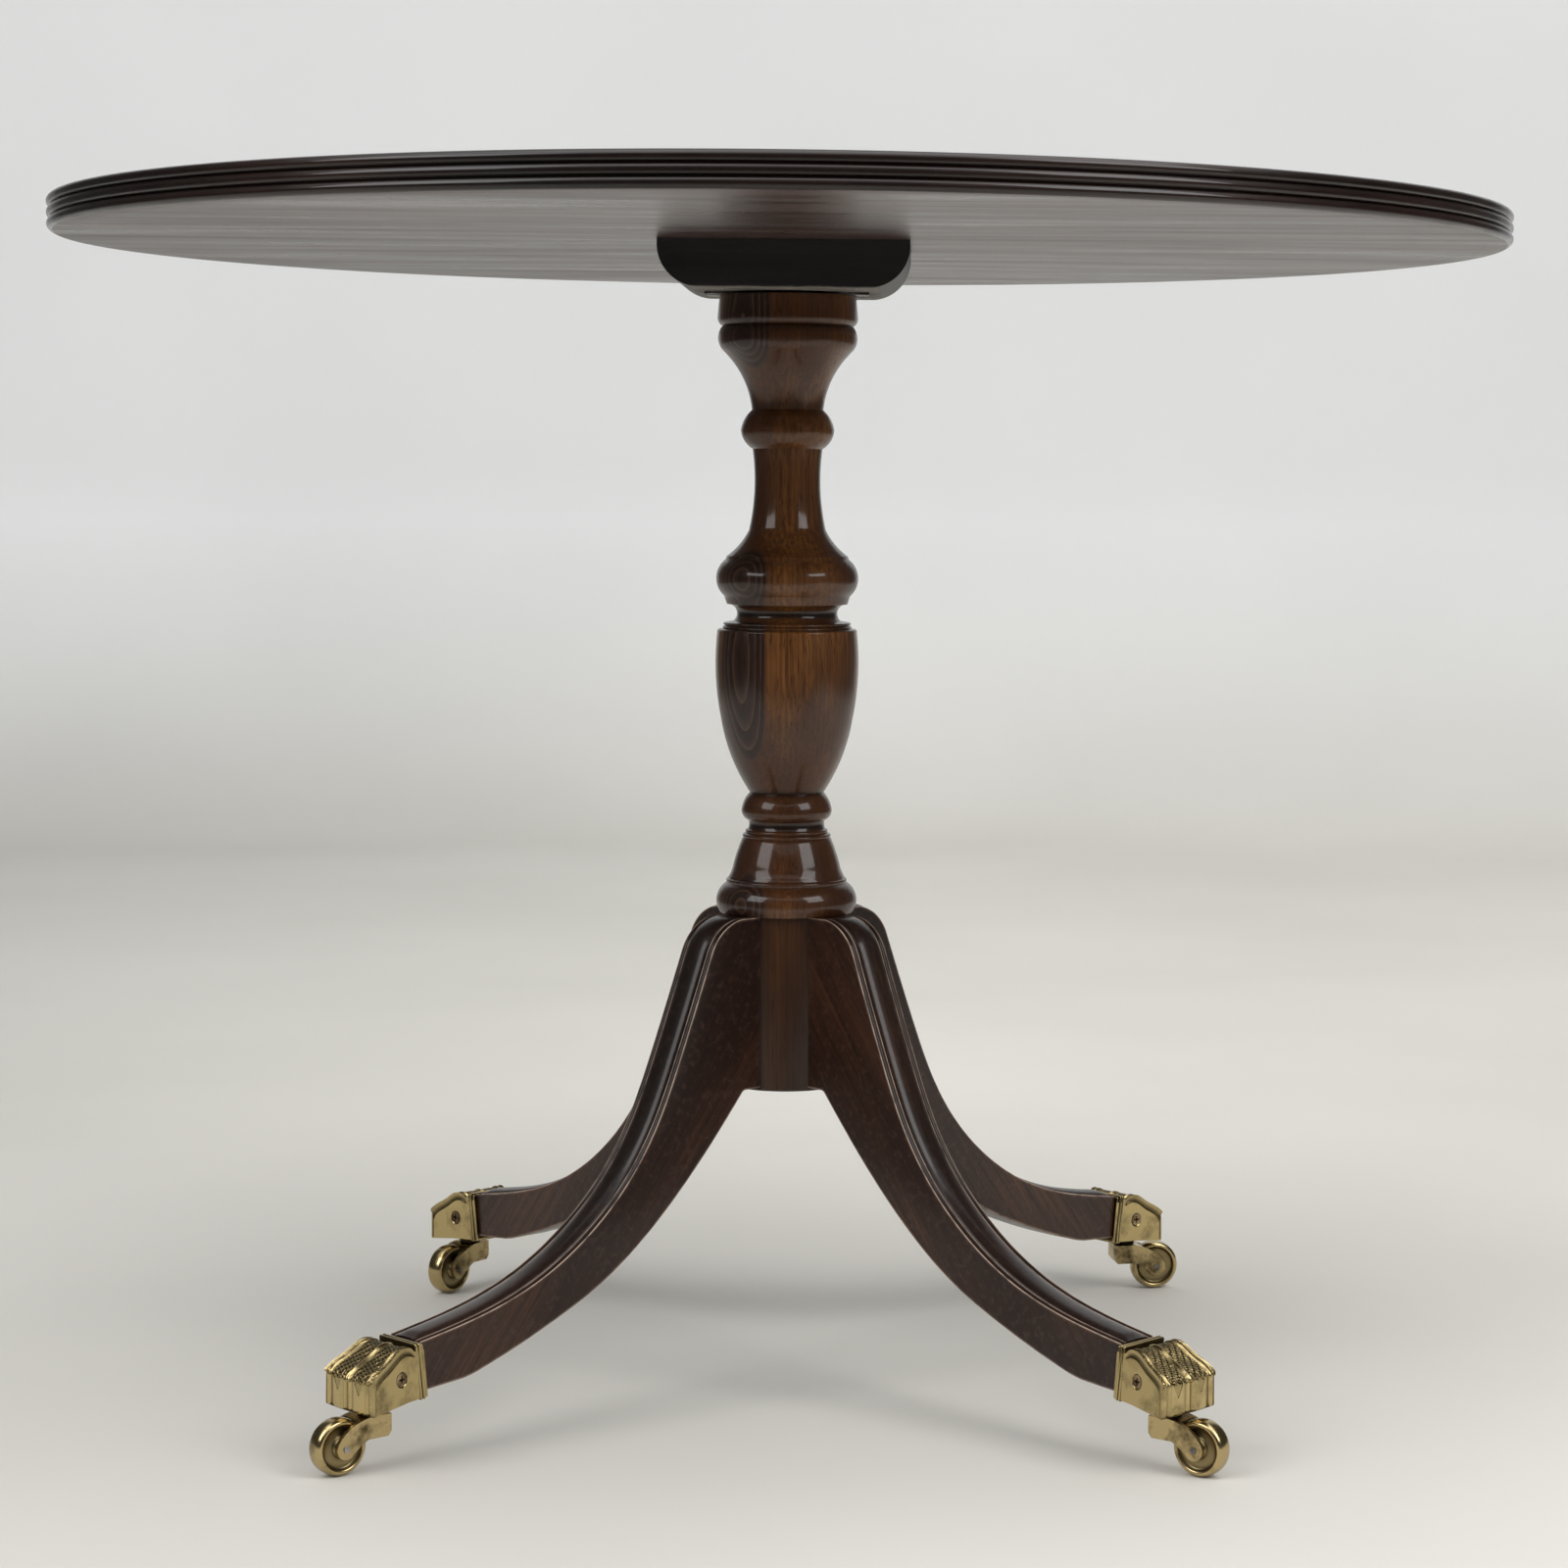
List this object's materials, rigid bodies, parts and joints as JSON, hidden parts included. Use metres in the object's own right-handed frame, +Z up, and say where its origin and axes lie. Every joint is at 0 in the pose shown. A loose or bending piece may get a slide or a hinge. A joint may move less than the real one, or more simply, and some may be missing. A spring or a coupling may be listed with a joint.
{
  "type": "round pedestal table",
  "caption": "Round wooden table with a reeded edge, a turned column, and splayed sabre legs that end in brass paw-shaped caps with swivelling castors.",
  "frame": {"origin": "on the floor, on the column's axis, level with the bottoms of the wheels", "axes": "+Z up along the column; -Y is the front; the legs run out along the diagonals"},
  "size_m": [0.914, 0.914, 0.748],
  "materials": {
    "top_veneer": "polished veneer above, satin below",
    "edge_wood": "gloss, ebonised",
    "block_wood": "matt black stain, bare wood below",
    "column_wood": "french polished",
    "leg_wood": "french polished",
    "brass": "polished, slightly aged",
    "steel": "turned",
    "dark_steel": "oiled black"
  },
  "bodies": {
    "table": {"top_panel": "top_veneer", "reeded_edge": "edge_wood", "mounting_block": "block_wood", "block_screws": "steel", "mounting_plate": "dark_steel", "plate_screws": "steel", "column": "column_wood", "socket_screws": "brass", "leg_front_left": "leg_wood", "castor_socket_front_left": "brass", "swivel_pin_front_left": "steel", "swivel_washer_front_left": "dark_steel", "leg_front_right": "leg_wood", "castor_socket_front_right": "brass", "swivel_pin_front_right": "steel", "swivel_washer_front_right": "dark_steel", "leg_back_left": "leg_wood", "castor_socket_back_left": "brass", "swivel_pin_back_left": "steel", "swivel_washer_back_left": "dark_steel", "leg_back_right": "leg_wood", "castor_socket_back_right": "brass", "swivel_pin_back_right": "steel", "swivel_washer_back_right": "dark_steel"},
    "horn_front_left": {"castor_horn_front_left": "brass", "castor_axle_front_left": "steel"},
    "wheel_front_left": {"castor_wheel_front_left": "brass"},
    "horn_front_right": {"castor_horn_front_right": "brass", "castor_axle_front_right": "steel"},
    "wheel_front_right": {"castor_wheel_front_right": "brass"},
    "horn_back_left": {"castor_horn_back_left": "brass", "castor_axle_back_left": "steel"},
    "wheel_back_left": {"castor_wheel_back_left": "brass"},
    "horn_back_right": {"castor_horn_back_right": "brass", "castor_axle_back_right": "steel"},
    "wheel_back_right": {"castor_wheel_back_right": "brass"}
  },
  "joints": [
    {"name": "swivel_front_left", "type": "hinge", "parent": "table", "child": "horn_front_left", "pos_m": [-0.23511, -0.23511, 0.0333], "axis": [0, 0, 1], "continuous": true},
    {"name": "roll_front_left", "type": "hinge", "parent": "horn_front_left", "child": "wheel_front_left", "pos_m": [-0.25146, -0.24983, 0.017], "axis": [0.6691, -0.7431, 0], "continuous": true},
    {"name": "swivel_front_right", "type": "hinge", "parent": "table", "child": "horn_front_right", "pos_m": [0.23511, -0.23511, 0.0333], "axis": [0, 0, 1], "continuous": true},
    {"name": "roll_front_right", "type": "hinge", "parent": "horn_front_right", "child": "wheel_front_right", "pos_m": [0.25291, -0.24804, 0.017], "axis": [0.5878, 0.809, 0], "continuous": true},
    {"name": "swivel_back_left", "type": "hinge", "parent": "table", "child": "horn_back_left", "pos_m": [-0.23511, 0.23511, 0.0333], "axis": [0, 0, 1], "continuous": true},
    {"name": "roll_back_left", "type": "hinge", "parent": "horn_back_left", "child": "wheel_back_left", "pos_m": [-0.24773, 0.21709, 0.017], "axis": [0.8192, -0.5736, 0], "continuous": true},
    {"name": "swivel_back_right", "type": "hinge", "parent": "table", "child": "horn_back_right", "pos_m": [0.23511, 0.23511, 0.0333], "axis": [0, 0, 1], "continuous": true},
    {"name": "roll_back_right", "type": "hinge", "parent": "horn_back_right", "child": "wheel_back_right", "pos_m": [0.25663, 0.23969, 0.017], "axis": [-0.2079, 0.9781, 0], "continuous": true}
  ]
}
